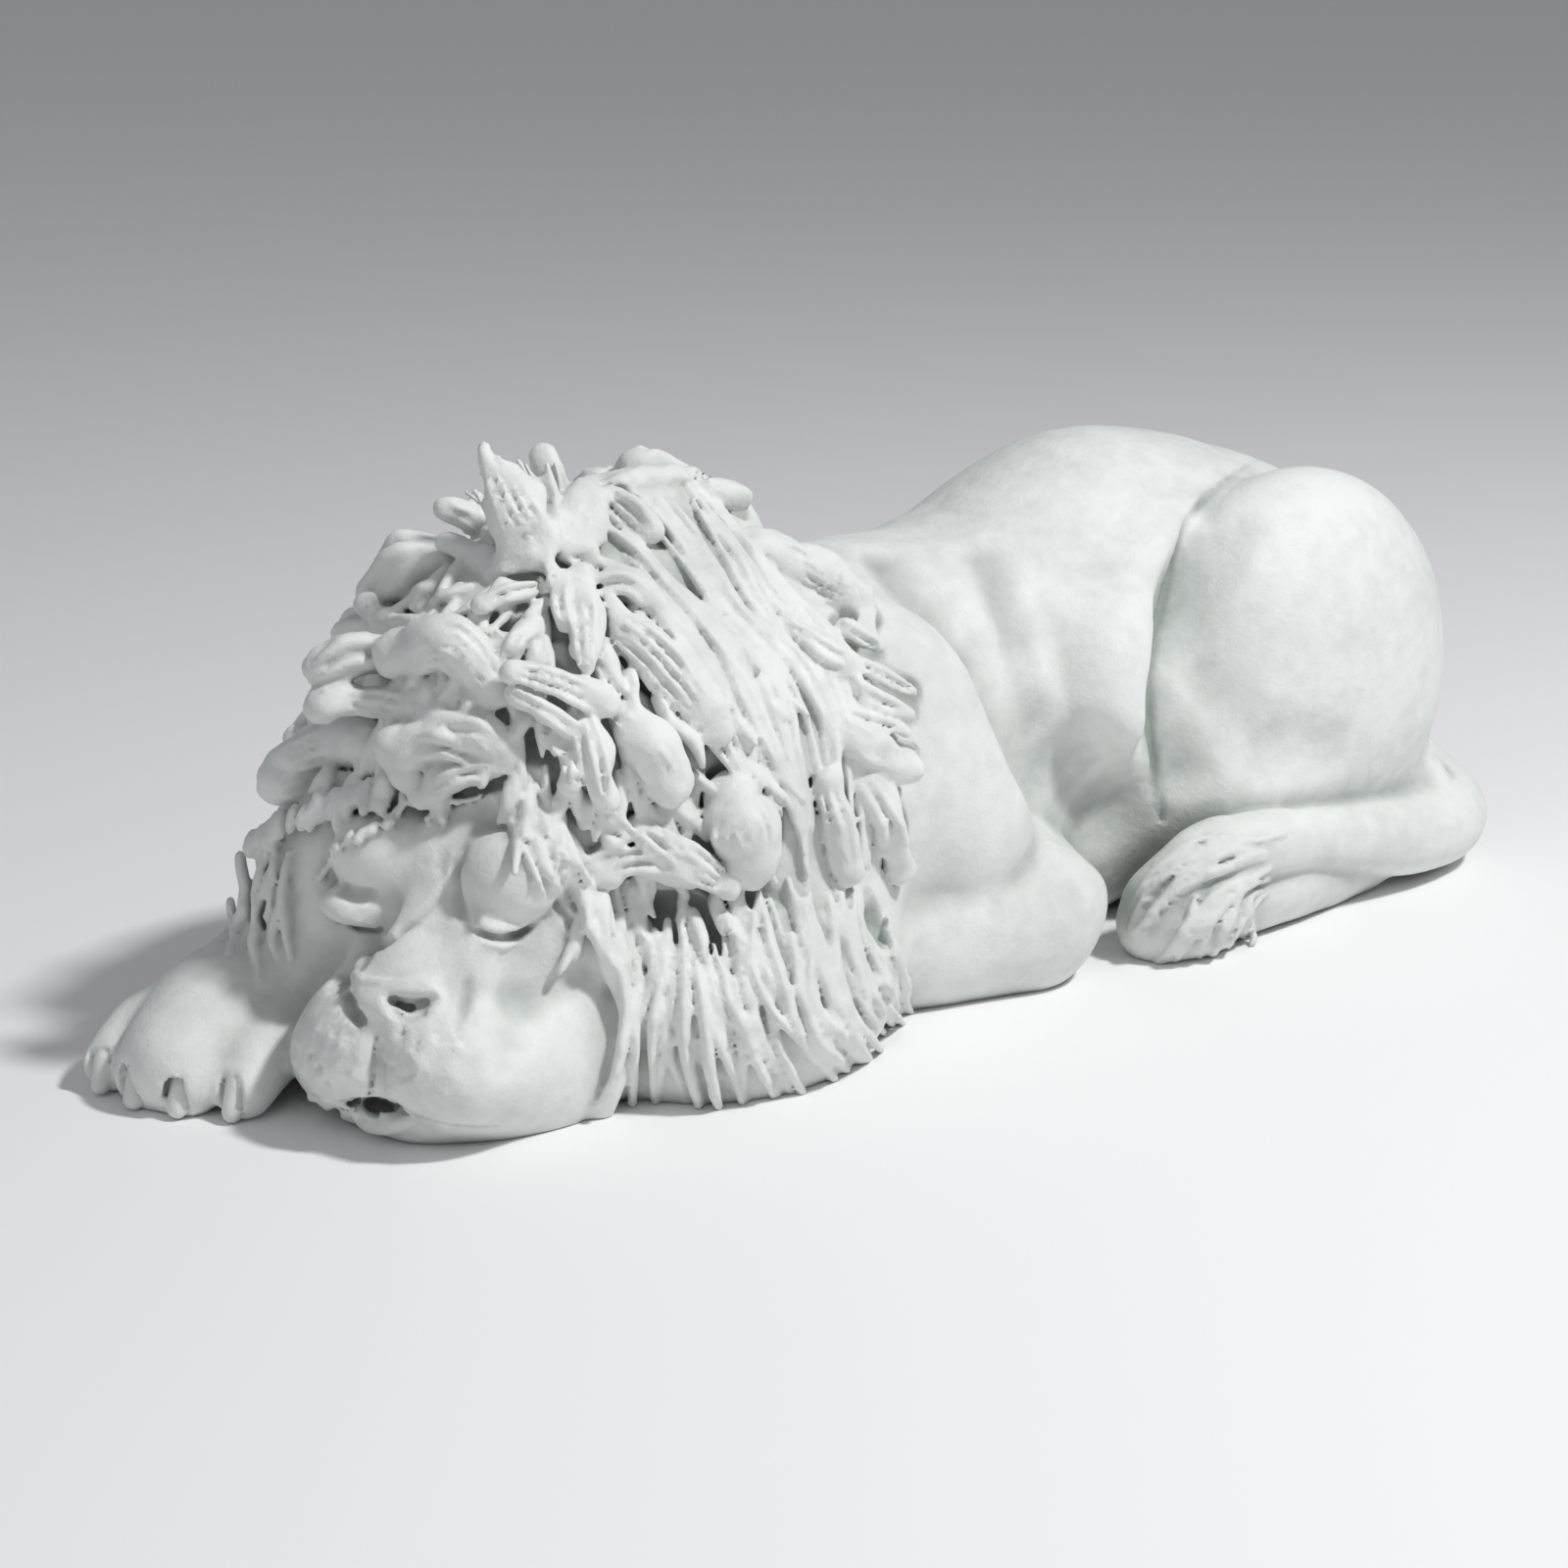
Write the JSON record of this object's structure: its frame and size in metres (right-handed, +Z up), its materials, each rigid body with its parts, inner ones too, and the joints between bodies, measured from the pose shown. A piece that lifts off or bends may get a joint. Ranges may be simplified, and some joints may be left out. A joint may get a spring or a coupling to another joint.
{
  "type": "lion statue",
  "caption": "Plaster statue of a sleeping lion: it lies with its chin on the ground, a long carved mane over the shoulders and its tail laid round the haunch.",
  "frame": {"origin": "on the ground under the chest, in the plane of the flat underside", "axes": "+Z up, the head lies towards -X, the lion's left side towards -Y, the long side along X"},
  "size_m": [1.2346, 0.4935, 0.449],
  "materials": {
    "plaster": "white plaster with a matt coat of paint, hand modelled"
  },
  "bodies": {
    "root": {"lion": "plaster"}
  },
  "joints": []
}
